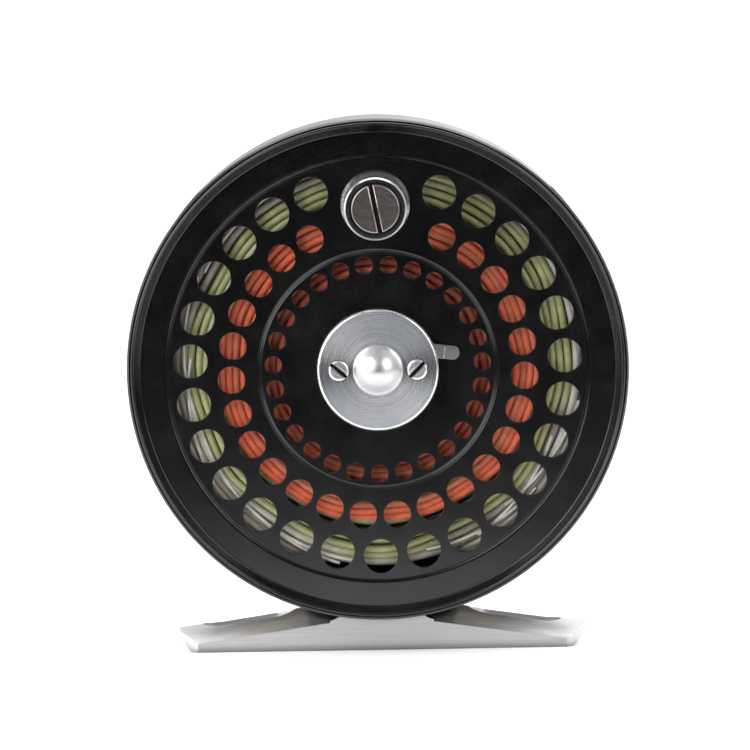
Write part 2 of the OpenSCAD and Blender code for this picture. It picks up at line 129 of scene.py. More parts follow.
def plate(name, outer, holes, w0, w1, bevel=0.06, at=(0.0, 0.0), bevel_holes=True, sharp=30.0):
    """Flat plate with holes from w0 to w1 (mm), each rim with a small rounded edge. Built as a filled 2D curve, then made a mesh."""
    cu = bpy.data.curves.new(name, "CURVE")
    cu.dimensions = "2D"
    cu.fill_mode = "BOTH"
    for loop in [outer] + holes:
        sp = cu.splines.new("POLY")
        sp.points.add(len(loop) - 1)
        for p, (x, y) in zip(sp.points, loop):
            p.co = (x * MM, y * MM, 0.0, 1.0)
        sp.use_cyclic_u = True
    cu.extrude = ((w1 - w0) / 2 - bevel) * MM
    cu.bevel_depth = bevel * MM
    cu.bevel_resolution = 2
    cu.offset = -bevel * MM
    tmp = bpy.data.objects.new(name + "_tmp", cu)
    coll.objects.link(tmp)
    bpy.context.view_layer.update()
    dg = bpy.context.evaluated_depsgraph_get()
    me = bpy.data.meshes.new_from_object(tmp.evaluated_get(dg))
    bpy.data.objects.remove(tmp)
    bpy.data.curves.remove(cu)
    wc = (w0 + w1) / 2
    co = np.zeros(len(me.vertices) * 3)
    me.vertices.foreach_get("co", co)
    co = co.reshape(-1, 3)
    out = np.stack([co[:, 0], -(co[:, 2] + wc * MM), co[:, 1]], 1)
    me.vertices.foreach_set("co", out.ravel())
    me.materials.clear()
    me.name = name
    ob = bpy.data.objects.new(name, me)
    ob.location = (at[0] * MM, 0.0, (ZC + at[1]) * MM)
    coll.objects.link(ob)
    bm = bmesh.new()
    bm.from_mesh(me)
    bmesh.ops.remove_doubles(bm, verts=bm.verts, dist=1e-7)
    bmesh.ops.recalc_face_normals(bm, faces=bm.faces)
    bm.to_mesh(me)
    bm.free()
    for pl in me.polygons:
        pl.use_smooth = abs(pl.normal.y) < 0.999
    return ob


def use(ob, mat, body, replaces=None):
    ob.data.materials.clear()
    ob.data.materials.append(mat)
    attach(ob, body)
    if replaces:
        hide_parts(*([replaces] if isinstance(replaces, str) else replaces))
    return ob


# ------------------------------------------------------------------ materials
class Mat:
    def __init__(self, name, base=(0.5, 0.5, 0.5), metallic=0.0, rough=0.4, spec=0.5, ior=1.5, aniso=0.0, coat=0.0, coat_rough=0.1, sheen=0.0):
        self.m = bpy.data.materials.new(name)
        self.m.use_nodes = True
        self.nt = self.m.node_tree
        self.nt.nodes.clear()
        self.out = self.nt.nodes.new("ShaderNodeOutputMaterial")
        self.p = self.nt.nodes.new("ShaderNodeBsdfPrincipled")
        self.nt.links.new(self.p.outputs[0], self.out.inputs[0])
        i = self.p.inputs
        i["Base Color"].default_value = (*base, 1)
        i["Metallic"].default_value = metallic
        i["Roughness"].default_value = rough
        i["Specular IOR Level"].default_value = spec
        i["IOR"].default_value = ior
        i["Anisotropic"].default_value = aniso
        i["Coat Weight"].default_value = coat
        i["Coat Roughness"].default_value = coat_rough
        i["Sheen Weight"].default_value = sheen
        self.tc = self.nt.nodes.new("ShaderNodeTexCoord")
        self.bump_in = None

    def node(self, t, **kw):
        n = self.nt.nodes.new(t)
        for k, v in kw.items():
            if k.startswith("in_"):
                n.inputs[k[3:].replace("_", " ")].default_value = v
            else:
                setattr(n, k, v)
        return n

    def link(self, a, b):
        self.nt.links.new(a, b)

    def obj_coord(self, scale=(1, 1, 1), loc=(0, 0, 0)):
        mp = self.node("ShaderNodeMapping")
        mp.inputs["Scale"].default_value = scale
        mp.inputs["Location"].default_value = loc
        self.link(self.tc.outputs["Object"], mp.inputs["Vector"])
        return mp.outputs[0]

    def noise(self, vec, scale, detail=3.0, rough=0.5, dist=0.0):
        n = self.node("ShaderNodeTexNoise")
        n.inputs["Scale"].default_value = scale
        n.inputs["Detail"].default_value = detail
        n.inputs["Roughness"].default_value = rough
        n.inputs["Distortion"].default_value = dist
        self.link(vec, n.inputs["Vector"])
        return n.outputs["Fac"]

    def ramp(self, fac, stops):
        r = self.node("ShaderNodeValToRGB")
        el = r.color_ramp.elements
        while len(el) > 1:
            el.remove(el[-1])
        el[0].position = stops[0][0]
        el[0].color = (*stops[0][1], 1) if len(stops[0][1]) == 3 else stops[0][1]
        for pos, c in stops[1:]:
            e = el.new(pos)
            e.color = (*c, 1)
        self.link(fac, r.inputs[0])
        return r.outputs[0]

    def rng(self, fac, a, b, c, d):
        r = self.node("ShaderNodeMapRange")
        r.inputs["From Min"].default_value = a
        r.inputs["From Max"].default_value = b
        r.inputs["To Min"].default_value = c
        r.inputs["To Max"].default_value = d
        self.link(fac, r.inputs["Value"])
        return r.outputs[0]

    def math(self, op, a, b=None, c=None):
        n = self.node("ShaderNodeMath", operation=op)
        for k, v in enumerate((a, b, c)):
            if v is None:
                continue
            if isinstance(v, (int, float)):
                n.inputs[k].default_value = v
            else:
                self.link(v, n.inputs[k])
        return n.outputs[0]

    def bump(self, height, strength=0.3, dist=0.00002):
        b = self.node("ShaderNodeBump")
        b.inputs["Strength"].default_value = strength
        b.inputs["Distance"].default_value = dist
        self.link(height, b.inputs["Height"])
        if self.bump_in is not None:
            self.link(self.bump_in, b.inputs["Normal"])
        self.bump_in = b.outputs[0]
        self.link(self.bump_in, self.p.inputs["Normal"])

    def radius(self, dz=0.0):
        """Distance from the reel's axis direction (Y) through the object's origin, raised by dz."""
        sx = self.node("ShaderNodeSeparateXYZ")
        self.link(self.obj_coord(loc=(0, 0, -dz)), sx.inputs[0])
        r2 = self.math("ADD", self.math("MULTIPLY", sx.outputs["X"], sx.outputs["X"]), self.math("MULTIPLY", sx.outputs["Z"], sx.outputs["Z"]))
        return self.math("SQRT", r2), sx

    def grain_dir(self, vec_out):
        """Stretches highlights along a direction given in object space."""
        vt = self.node("ShaderNodeVectorTransform", vector_type="VECTOR", convert_from="OBJECT", convert_to="WORLD")
        self.link(vec_out, vt.inputs[0])
        nz = self.node("ShaderNodeVectorMath", operation="NORMALIZE")
        self.link(vt.outputs[0], nz.inputs[0])
        self.link(nz.outputs[0], self.p.inputs["Tangent"])

    def radial_dir(self, dz=0.0):
        r, sx = self.radius(dz)
        cb = self.node("ShaderNodeCombineXYZ")
        self.link(sx.outputs["X"], cb.inputs["X"])
        self.link(sx.outputs["Z"], cb.inputs["Z"])
        self.grain_dir(cb.outputs[0])

    def fixed_dir(self, v):
        cb = self.node("ShaderNodeCombineXYZ")
        for k in range(3):
            cb.inputs[k].default_value = v[k]
        self.grain_dir(cb.outputs[0])

    def painted_crevice_shade(self, colour, dist=0.0004, dark=0.25):
        """Painted shade: darkens a colour output in corners and slots, from ambient occlusion."""
        ao = self.node("ShaderNodeAmbientOcclusion", samples=6)
        ao.inputs["Distance"].default_value = dist
        mx = self.node("ShaderNodeMix", data_type="RGBA", blend_type="MULTIPLY")
        mx.inputs["Factor"].default_value = 1.0
        self.link(colour, mx.inputs["A"])
        self.link(self.ramp(ao.outputs["AO"], [(0.35, (dark, dark, dark)), (0.85, (1.0, 1.0, 1.0))]), mx.inputs["B"])
        return mx.outputs["Result"]

    def edge_round(self, radius):
        """Rounds edges in the shading, in front of the bump chain."""
        b = self.node("ShaderNodeBevel", samples=6)
        b.inputs["Radius"].default_value = radius
        self.bump_in = b.outputs[0]

    def turned(self, strength=0.25, scale=9000.0, dz=0.0, dist=0.000006, rough=None):
        """Fine concentric tool marks."""
        r, sx = self.radius(dz)
        cb = self.node("ShaderNodeCombineXYZ")
        self.link(r, cb.inputs["X"])
        self.link(self.math("MULTIPLY", sx.outputs["Y"], 1.0), cb.inputs["Y"])
        n = self.noise(cb.outputs[0], scale, 2.0, 0.7)
        self.bump(n, strength, dist)
        if rough:
            self.link(self.rng(n, 0.3, 0.7, rough[0], rough[1]), self.p.inputs["Roughness"])
        return n


def black_anodised(name, rough=(0.20, 0.26), grain=0.45, dz=0.0, tint=(0.0034, 0.0033, 0.0037), turned=0.10):
    m = Mat(name, base=tint, rough=0.25, spec=0.5, ior=1.58)
    co = m.obj_coord()
    fine = m.noise(co, 6500.0, 3.0, 0.65)         # satin blast grain, about 0.15 mm
    broad = m.noise(co, 120.0, 4.0, 0.55)         # handling variation
    m.link(m.rng(broad, 0.3, 0.7, rough[0], rough[1]), m.p.inputs["Roughness"])
    speck = m.noise(co, 4200.0, 2.0, 0.7)
    both = m.math("ADD", m.math("MULTIPLY", speck, 0.75), m.math("MULTIPLY", m.noise(co, 260.0, 5.0, 0.6), 0.25))
    m.link(m.ramp(both, [(0.40, tuple(c * 0.2 for c in tint)), (0.51, tint), (0.64, tuple(c * 4.5 for c in tint))]), m.p.inputs["Base Color"])
    m.bump(fine, grain, 0.000012)
    if turned:
        m.turned(turned, 5000.0, dz=dz, dist=0.000004)
    return m.m


def brushed(name, base=(0.77, 0.77, 0.785), rough=(0.22, 0.36), axis="X", scale=1.0, strength=0.35, dist=0.000008, metallic=1.0, tint2=None, aniso=0.0, spread=(0, 1, 0), edge=0.0, dark=None, ao=0.0004):
    """Fine straight brushing along an axis."""
    m = Mat(name, base=base, metallic=metallic, rough=0.3, aniso=aniso)
    if edge:
        m.edge_round(edge)
    s = {"X": (60, 5200, 5200), "Y": (5200, 60, 5200), "Z": (5200, 5200, 60)}[axis]
    co = m.obj_coord(scale=tuple(v * scale for v in s))
    n = m.noise(co, 1.0, 4.0, 0.65)
    co2 = m.obj_coord(scale=tuple(v * scale * 0.22 for v in s))
    n2 = m.noise(co2, 1.0, 3.0, 0.6)
    mix = m.math("ADD", m.math("MULTIPLY", n, 0.6), m.math("MULTIPLY", n2, 0.4))
    m.link(m.rng(mix, 0.3, 0.7, rough[0], rough[1]), m.p.inputs["Roughness"])
    t2 = tint2 or tuple(c * 0.86 for c in base)
    col = m.ramp(mix, [(0.32, t2), (0.62, base)])
    # painted shade in corners and slots, when dark is given
    if dark is not None:
        col = m.painted_crevice_shade(col, dist=ao, dark=dark)
    m.link(col, m.p.inputs["Base Color"])
    m.bump(mix, strength, dist)
    if aniso:
        m.fixed_dir(spread)
    return m.m


def turned_metal(name, base=(0.78, 0.78, 0.80), rough=(0.2, 0.34), aniso=0.55, dz=0.0, strength=0.3, scale=7000.0, dark=0.88, painted_crevice_shade=None, edge=0.0, tint=None):
    m = Mat(name, base=base, metallic=1.0, rough=0.28, aniso=aniso)
    if edge:
        m.edge_round(edge)
    n = m.turned(strength, scale, dz=dz, dist=0.000006, rough=rough)
    col = m.ramp(n, [(0.3, tuple(c * dark for c in base)), (0.65, base)])
    if tint:
        # broad faint bluish patches, placed by noise
        mx = m.node("ShaderNodeMix", data_type="RGBA", blend_type="MIX")
        m.link(m.rng(m.noise(m.obj_coord(), 160.0, 3.0, 0.6), 0.48, 0.72, 0.0, 0.55), mx.inputs["Factor"])
        m.link(col, mx.inputs["A"])
        mx.inputs["B"].default_value = (*tint, 1)
        col = mx.outputs["Result"]
    # painted shade in corners and slots
    if painted_crevice_shade is not None:
        col = m.painted_crevice_shade(col, dark=painted_crevice_shade)
    m.link(col, m.p.inputs["Base Color"])
    if aniso:
        m.radial_dir(dz)
    sm = m.noise(m.obj_coord(), 1500.0, 3.0, 0.6)
    m.bump(sm, 0.06, 0.000004)
    return m.m


def machined(name, base, rough=(0.2, 0.32), scale=3500.0, metallic=1.0, strength=0.15, painted_crevice_shade=0.2, edge=0.0):
    m = Mat(name, base=base, metallic=metallic, rough=0.27)
    if edge:
        m.edge_round(edge)
    co = m.obj_coord()
    n = m.noise(co, scale, 3.0, 0.6)
    m.link(m.rng(n, 0.3, 0.7, rough[0], rough[1]), m.p.inputs["Roughness"])
    col = m.ramp(m.noise(co, scale * 0.15, 4.0, 0.6), [(0.3, tuple(c * 0.85 for c in base)), (0.7, base)])
    # painted shade in corners and slots, always on
    m.link(m.painted_crevice_shade(col, dark=painted_crevice_shade), m.p.inputs["Base Color"])
    m.bump(n, strength, 0.000006)
    return m.m


M_FRAME = black_anodised("black_frame", dz=ZC * MM)
M_FRAME0 = black_anodised("black_frame_turned")
M_SPOOL = black_anodised("black_spool", rough=(0.17, 0.22), grain=0.42)
HZ = (ZC + 25.1) * MM
# the foot's dark and ao values paint strong shade in its slots and corners, over about 2 mm
M_FOOT = brushed("foot_alu", base=(0.745, 0.737, 0.745), rough=(0.32, 0.44), axis="X", metallic=0.95, aniso=0.45, spread=(0, 0.6, 0.8), edge=0.00015, strength=1.0, scale=1.7, dark=0.06, ao=0.0020, tint2=(0.59, 0.585, 0.595))
M_COVER = turned_metal("cover_alu", base=(0.95, 0.955, 0.99), rough=(0.22, 0.33), aniso=0.84, strength=0.8, scale=13000.0, dark=0.80, tint=(0.70, 0.80, 0.99), painted_crevice_shade=0.35)
M_DOME = turned_metal("cover_dome", base=(0.72, 0.71, 0.72), rough=(0.34, 0.41), aniso=0.0, strength=0.18, painted_crevice_shade=0.4)
M_EDGE = turned_metal("cover_edge", base=(0.95, 0.95, 0.95), rough=(0.22, 0.3), aniso=0.0, strength=0.06)
M_STEEL = machined("steel_bright", (0.66, 0.66, 0.67), rough=(0.16, 0.28))
M_LEVER = brushed("steel_lever", base=(0.42, 0.42, 0.43), rough=(0.3, 0.42), axis="X", scale=1.4, edge=0.00012)
M_SCREW = machined("steel_screw", (0.86, 0.85, 0.83), rough=(0.16, 0.28), painted_crevice_shade=0.12, edge=0.00006)
M_DARKSCREW = machined("dark_screw", (0.45, 0.40, 0.39), rough=(0.28, 0.36), scale=2600.0, strength=0.15, painted_crevice_shade=0.7)
M_CAPSCREW = machined("cap_screw", (0.93, 0.92, 0.90), rough=(0.26, 0.40), scale=2600.0, strength=0.2, painted_crevice_shade=0.3)
M_SPRING = machined("spring_wire", (0.55, 0.55, 0.56), rough=(0.2, 0.3))
M_BRASS = machined("brass", (0.72, 0.50, 0.22), rough=(0.2, 0.34))
M_KNOB = turned_metal("knob_metal", base=(0.40, 0.40, 0.41), rough=(0.18, 0.30), aniso=0.2, strength=0.15, dz=HZ)
M_COLLAR = turned_metal("collar_metal", base=(0.85, 0.85, 0.86), rough=(0.12, 0.24), aniso=0.3, strength=0.2, dz=HZ)
# near-black slot floor: painted shade inside the screw slots
M_SLOT_SHADE = machined("slot_painted_shade", (0.03, 0.028, 0.026), rough=(0.5, 0.6))
M_BLACKKNOB = black_anodised("black_knob", tint=(0.012, 0.012, 0.013))

cad_mats = {
    "back_plate": M_FRAME, "front_ring": M_FRAME, "top_bridge": M_FRAME, "bottom_bridge": M_FRAME, "cage_bars": M_FRAME,
    "frame_screws": M_SCREW, "ring_screws": M_SCREW, "foot": M_FOOT, "foot_screws": M_SCREW, "spindle": M_STEEL, "spindle_screws": M_SCREW,
    "pawl_posts": M_SCREW, "spring_pins": M_SCREW, "pawl_spring_a": M_SPRING, "pawl_spring_b": M_SPRING, "drag_washer": M_BRASS,
    "pawl_a": M_BRASS, "pawl_b": M_BRASS, "drag_knob": M_BLACKKNOB, "drag_cam": M_BRASS, "drag_screw": M_SCREW,
    "spool": M_SPOOL, "bushing_front": M_BRASS, "bushing_rear": M_BRASS, "click_gear": M_BRASS, "gear_screws": M_SCREW,
    "latch_cover": M_COVER, "latch_screws": M_SCREW, "latch_spring": M_SPRING, "latch_lever": M_LEVER,
    "handle_post": M_STEEL, "handle_collar": M_COLLAR, "handle_screw": M_DARKSCREW, "handle_knob": M_KNOB, "handle_sleeve": M_BRASS,
}
for n, m in cad_mats.items():
    o = NODES[n]
    o.data.materials.clear()
    o.data.materials.append(m)
    o.data.shade_smooth()
    o.data.set_sharp_from_angle(angle=math.radians(28))


def crisp(node, width, segs=2, angle=30.0, planar=0.6):
    """Rounds a CAD node's edges a little with modifiers, so that they catch light."""
    o = NODES[node]
    w = o.modifiers.new("weld", "WELD")
    w.merge_threshold = 2e-6
    d = o.modifiers.new("planar", "DECIMATE")
    d.decimate_type = "DISSOLVE"
    d.angle_limit = math.radians(planar)
    b = o.modifiers.new("edge", "BEVEL")
    b.width = width * MM
    b.segments = segs
    b.limit_method = "ANGLE"
    b.angle_limit = math.radians(angle)
    b.use_clamp_overlap = True
    b.harden_normals = False
    wn = o.modifiers.new("normals", "WEIGHTED_NORMAL")
    wn.keep_sharp = True


# ------------------------------------------------------------------ spool, finer than the CAD mesh
RING_N = 27
FACE = 12.6
step = 360.0 / RING_N


def pol(r, a):
    return r * math.cos(math.radians(a)), r * math.sin(math.radians(a))


holes_outer = []
for k in range(RING_N):
    if k not in (0, RING_N - 1):
        holes_outer.append(circle_pts(*pol(28.45, 90 + (k + 0.5) * step), 5.15 / 2, 56))
for k in range(2, RING_N - 1):
    holes_outer.append(circle_pts(*pol(22.3, 90 + k * step), 4.15 / 2, 48))
holes_inner = [circle_pts(*pol(15.9, 90 + (k + 0.5) * step), 1.3, 36) for k in range(RING_N)]

zone_a = plate("spool_face_outer", circle_pts(0, 0, 31.86, 256), [circle_pts(0, 0, 18.28, 220)] + holes_outer, 11.0, FACE, bevel=0.07)
use(zone_a, M_SPOOL, "spool", "spool")
zone_b = plate("spool_face_inner", circle_pts(0, 0, 17.72, 220), [circle_pts(0, 0, 4.0, 96)] + holes_inner, 11.0, FACE, bevel=0.06)
use(zone_b, M_SPOOL, "spool", "spool")
# groove floors, flat annulus and beaded rim
rim = lathe("spool_rim", [
    (31.80, 11.0), (35.2, 11.0), (36.0, 10.75), (37.4, 10.75), (37.5, 10.82), (37.55, 10.95), (37.55, 13.66), (37.53, 13.78), (37.47, 13.88), (37.39, 13.96), (37.3, 14.0),
    (37.22, 13.99), (37.12, 13.93), (37.0, 13.80), (36.16, 12.68), (36.08, 12.62), (35.98, FACE), (32.52, FACE), (32.46, 12.58), (32.40, 12.50), (32.30, 12.34),
    (32.22, 12.30), (32.10, 12.36), (31.98, 12.30), (31.90, 12.31), (31.84, 12.36), (31.80, 12.36)], segs=512)
use(rim, M_SPOOL, "spool", "spool")
groove = lathe("spool_inner_groove", [
    (17.68, 11.02), (18.32, 11.02), (18.32, 12.40), (18.24, 12.36), (18.14, 12.34), (18.0, 12.40), (17.86, 12.34), (17.76, 12.36), (17.68, 12.40)], segs=320)
use(groove, M_SPOOL, "spool", "spool")
arbor = lathe("spool_arbor", [
    (3.6, -8.0), (6.5, -8.0), (6.6, -7.9), (6.6, 9.6), (10.7, 9.6), (10.7, -8.0), (34.5, -8.0), (34.8, -7.7), (34.8, -7.2), (34.5, -6.9), (12.4, -6.9), (12.0, -6.5), (12.0, 10.7), (12.3, 11.05),
    (4.1, 11.05), (4.1, 12.55), (3.6, 12.55)], segs=256)
use(arbor, M_SPOOL, "spool", "spool")

# ------------------------------------------------------------------ wound line
TWO = 2 * math.pi


def wob(amp, kmax=5):
    terms = [(amp * rng.uniform(0.3, 1.0) / (1 + 0.5 * k), k, rng.uniform(0, TWO)) for k in range(1, kmax + 1)]
    return lambda t: sum(a * math.sin(k * t + ph) for a, k, ph in terms)


class Strands:
    def __init__(self, name):
        self.name, self.v, self.f, self.c = name, [], [], []

    def loop(self, rf, wf, rad, colf, n=288, sides=10, t0=0.0, t1=TWO):
        full = abs(t1 - t0) >= TWO - 1e-6
        rings = n if full else n + 1
        base = len(self.v)
        for k in range(rings):
            t = t0 + (t1 - t0) * k / n
            r, w = rf(t), wf(t)
            c = colf(t)
            rr = rad(t) if callable(rad) else rad
            for s in range(sides):
                a = TWO * s / sides
                q = r + rr * math.cos(a)
                self.v.append((q * math.cos(t) * MM, -(w + rr * math.sin(a)) * MM, q * math.sin(t) * MM))
                self.c.append(c)
        for k in range(n):
            k2 = (k + 1) % rings if full else k + 1
            for s in range(sides):
                s2 = (s + 1) % sides
                self.f.append([base + k * sides + s, base + k * sides + s2, base + k2 * sides + s2, base + k2 * sides + s])

    def build(self, mat, replaces):
        ob = new_obj(self.name, self.v, self.f, origin=AXIS, sharp=180)
        at = ob.data.color_attributes.new("tint", "FLOAT_COLOR", "POINT")
        arr = np.ones((len(self.v), 4), np.float32)
        arr[:, :3] = np.array(self.c, np.float32)
        at.data.foreach_set("color", arr.ravel())
        return use(ob, mat, "spool", replaces)


def smooth(a, b, x):
    t = max(0.0, min(1.0, (x - a) / (b - a)))
    return t * t * (3 - 2 * t)


def mixc(a, b, t):
    return tuple(x * (1 - t) + y * t for x, y in zip(a, b))


def line_material(name, rough=0.5, braid=0.0, spec=0.4, sheen=0.0):
    m = Mat(name, rough=rough, spec=spec, sheen=sheen)
    at = m.node("ShaderNodeAttribute", attribute_name="tint")
    co = m.obj_coord()
    n = m.noise(co, 900.0, 4.0, 0.6)
    mx = m.node("ShaderNodeMix", data_type="RGBA", blend_type="MULTIPLY")
    mx.inputs["Factor"].default_value = 1.0
    m.link(at.outputs["Color"], mx.inputs["A"])
    m.link(m.ramp(n, [(0.3, (0.78, 0.78, 0.78)), (0.7, (1.0, 1.0, 1.0))]), mx.inputs["B"])
    m.link(mx.outputs["Result"], m.p.inputs["Base Color"])
    if braid:
        # braid crossings along the strand: angle about the axis against radius
        sx = m.node("ShaderNodeSeparateXYZ")
        m.link(co, sx.inputs[0])
        ang = m.math("ARCTAN2", sx.outputs["Z"], sx.outputs["X"])
        w1 = m.math("SINE", m.math("ADD", m.math("MULTIPLY", ang, 240.0), m.math("MULTIPLY", sx.outputs["Y"], 9000.0)))
        w2 = m.math("SINE", m.math("SUBTRACT", m.math("MULTIPLY", ang, 240.0), m.math("MULTIPLY", sx.outputs["Y"], 9000.0)))
        m.bump(m.math("MULTIPLY", w1, w2), braid, 0.00004)
    m.bump(m.noise(co, 5000.0, 3.0, 0.6), 0.18, 0.00002)
    return m.m


M_BACKING = line_material("backing_braid", rough=0.62, braid=0.35, spec=0.3, sheen=0.15)
M_LINE = line_material("line_coated", rough=0.42, spec=0.45)
M_LEADER = line_material("line_outer", rough=0.42, spec=0.45)

ORANGE = (1.0, 0.36, 0.19)
ORANGE2 = (0.93, 0.17, 0.075)
OLIVE = (0.50, 0.51, 0.235)
OLIVE2 = (0.34, 0.345, 0.15)
YELLOW = (0.62, 0.62, 0.30)
GREY = (0.36, 0.33, 0.285)
BEIGE = (0.330, 0.297, 0.238)
BROWN = (0.26, 0.23, 0.165)
CREAM = (0.60, 0.56, 0.47)
WHITE = (0.62, 0.60, 0.55)


def clamp(v, a=0.0, b=1.0):
    return max(a, min(b, v))


def deg(t):
    return math.degrees(t) % 360.0


def between(t, a, b, soft=8.0):
    """1 inside the arc from a to b degrees, 0 outside, soft at its ends."""
    d = (deg(t) - a) % 360.0
    span = (b - a) % 360.0
    if d <= span:
        return min(1.0, smooth(0, soft, d), smooth(0, soft, span - d))
    return 0.0


def warp(amp, ks):
    """A slow sway shared by neighbouring turns, so that they stay side by side."""
    terms = [(amp * rng.uniform(0.5, 1.0) / math.sqrt(k), k, rng.uniform(0, TWO), rng.uniform(-0.25, 0.25)) for k in ks]
    return lambda t, r: sum(a * math.sin(k * t + ph + q * r) for a, k, ph, q in terms)


back = Strands("backing_turns")
WB = warp(0.42, (2, 3, 5, 7, 9, 11))
DB = 1.16
for layer in range(3):
    for i in range(11 - layer):
        r0 = 12.45 + i * DB + (0.58 if layer % 2 else 0.0) + rng.uniform(-0.12, 0.12)
        if r0 > 24.1:
            continue
        f = (r0 - 12.45) / 11.0
        wr, ww = wob(0.10, 7), wob(0.12, 5)
        w0 = 10.36 - layer * 0.55 - rng.uniform(0, 0.12)
        tint = mixc(ORANGE, ORANGE2, rng.random() * 0.8)
        # painted shade: deeper layers darker, times a per-strand tone factor
        painted_layer_shade = (1.0, 0.55, 0.4)[layer] * (1.0, 0.88, 1.0, 0.78, 0.95)[i % 5]
        # painted shade: strands seen through the small inner holes darker and redder
        inner_hole_shade = 1.0 - 0.42 * clamp((18.6 - r0) / 2.0)
        cn = wob(0.45, 9)
        back.loop(lambda t, r0=r0, f=f, wr=wr: r0 + 0.9 * f * math.sin(t) + wr(t) + WB(t, r0) * clamp(f * 1.6),
                  lambda t, ww=ww, w0=w0: w0 + ww(t) - 0.12, lambda t, wr=wr: 0.60 + 0.3 * wr(t),
                  lambda t, tint=tint, cn=cn, painted_layer_shade=painted_layer_shade, inner_hole_shade=inner_hole_shade: tuple(v * painted_layer_shade * q for v, q in zip(mixc(tint, ORANGE2, clamp(0.3 + cn(t))), (inner_hole_shade ** 0.6, inner_hole_shade * 0.95, inner_hole_shade))), n=240, sides=10)
back.build(M_BACKING, "backing")

line = Strands("fly_line_turns")
lead = Strands("leader_turns")
WL = warp(0.55, (2, 3, 5, 7, 8, 10, 13))
WW = warp(0.28, (3, 5, 6, 9))
centres = [24.30, 25.50, 26.70, 27.90, 29.10, 30.30]
for layer in range(3):
    for i, r0 in enumerate(centres if layer % 2 == 0 else [c + 0.6 for c in centres[:-1]]):
        g = (r0 - 24.3) / 6.0
        wr, ww = wob(0.07, 5), wob(0.14, 4)
        w0 = 10.2 - layer * 0.95 - rng.uniform(0, 0.1)
        cn = wob(0.45, 6)
        keep = 1.0 - 0.75 * smooth(0.6, 1.0, g)
        if i <= 3:
            def colf(t, cn=cn, i=i):
                c = mixc(OLIVE, OLIVE2, clamp(0.40 + cn(t)))
                c = mixc(c, YELLOW, 0.75 * between(t, 150, 262, 25))
                c = mixc(c, BROWN, 0.40 * between(t, 30, 120, 25) * (0.5 + 0.5 * math.sin(9 * t + i)))
                if i == 1:
                    # strand 1: a painted highlight in cream over 118-178 degrees, and a near-black painted shadow of
                    # the flange over 212-338 degrees
                    c = mixc(c, CREAM, 0.65 * between(t, 118, 178, 12))
                    c = mixc(c, (0.02, 0.017, 0.014), between(t, 212, 338, 14))
                # strand 0: darker olive-brown over 205-340 degrees, partly its own colour and partly painted shade
                if i == 0:
                    c = mixc(c, (0.40, 0.33, 0.20), 0.8 * between(t, 205, 340, 14))
                return c
        elif i == 4:
            def colf(t, cn=cn):
                c = mixc(OLIVE, BROWN, clamp(0.35 + cn(t)))
                c = mixc(c, GREY, between(t, 96, 178, 14))
                c = mixc(c, WHITE, 0.75 * between(t, 182, 262, 10))
                c = mixc(c, GREY, between(t, 288, 352, 10))
                return c
        else:
            def colf(t, cn=cn):
                c = mixc(OLIVE, BROWN, clamp(0.3 + cn(t)))
                c = mixc(c, BEIGE, between(t, 92, 244, 12))
                c = mixc(c, GREY, between(t, 244, 300, 10))
                c = mixc(c, BEIGE, between(t, 296, 335, 10))
                c = mixc(c, WHITE, between(t, 328, 64, 10))
                return c
        tgt = line if i <= 3 else lead
        # painted shade: deeper layers darker
        painted_layer_shade = (1.0, 0.30, 0.15)[layer]
        off = rng.uniform(-0.13, 0.13)
        tgt.loop(lambda t, r0=r0 + off, g=g, wr=wr, keep=keep: r0 + (0.9 + 0.2 * g) * math.sin(t) + wr(t) + WL(t, r0) * keep * clamp(0.35 + g),
                 lambda t, ww=ww, w0=w0, r0=r0: w0 + ww(t) + WW(t, r0) - 0.2, lambda t, wr=wr: 0.575 + 0.4 * wr(t),
                 lambda t, colf=colf, painted_layer_shade=painted_layer_shade: tuple(v * painted_layer_shade for v in colf(t)), n=320, sides=12)
# a further turn that fills the lower part
for (a, b, r0, c, w0) in [(176, 254, 31.45, BEIGE, 10.15), (180, 250, 31.9, BROWN, 9.6), (288, 352, 31.5, GREY, 10.15), (292, 348, 31.95, BEIGE, 9.6)]:
    wr, cn = wob(0.12, 5), wob(0.4, 6)
    lead.loop(lambda t, r0=r0, wr=wr: r0 + 1.05 * math.sin(t) + wr(t), lambda t, a=a, b=b, w0=w0: w0 - 1.6 * (1 - min(smooth(0, 14, deg(t) - a), smooth(0, 14, b - deg(t)))), 0.58,
              lambda t, c=c, cn=cn: mixc(c, BROWN, clamp(0.3 + cn(t))), n=90, sides=10, t0=math.radians(a), t1=math.radians(b))
# thin loose strands that lie across the outer turns
for (a, b, ra, rb, c, rr) in [(176, 214, 28.2, 30.6, WHITE, 0.25), (196, 262, 28.4, 29.9, WHITE, 0.3), (232, 258, 29.3, 30.6, CREAM, 0.25),
                              (300, 338, 29.9, 28.3, WHITE, 0.27), (312, 350, 28.6, 30.8, WHITE, 0.27), (284, 322, 28.9, 30.3, CREAM, 0.25), (100, 150, 30.9, 29.6, CREAM, 0.25),
                              (152, 196, 30.2, 28.4, WHITE, 0.22)]:
    lead.loop(lambda t, a=a, b=b, ra=ra, rb=rb: ra + (rb - ra) * (deg(t) - a) / (b - a) + 1.0 * math.sin(t) * 0.6 + 0.25,
              lambda t: 10.66, rr, lambda t, c=c: c, n=70, sides=8, t0=math.radians(a), t1=math.radians(b))
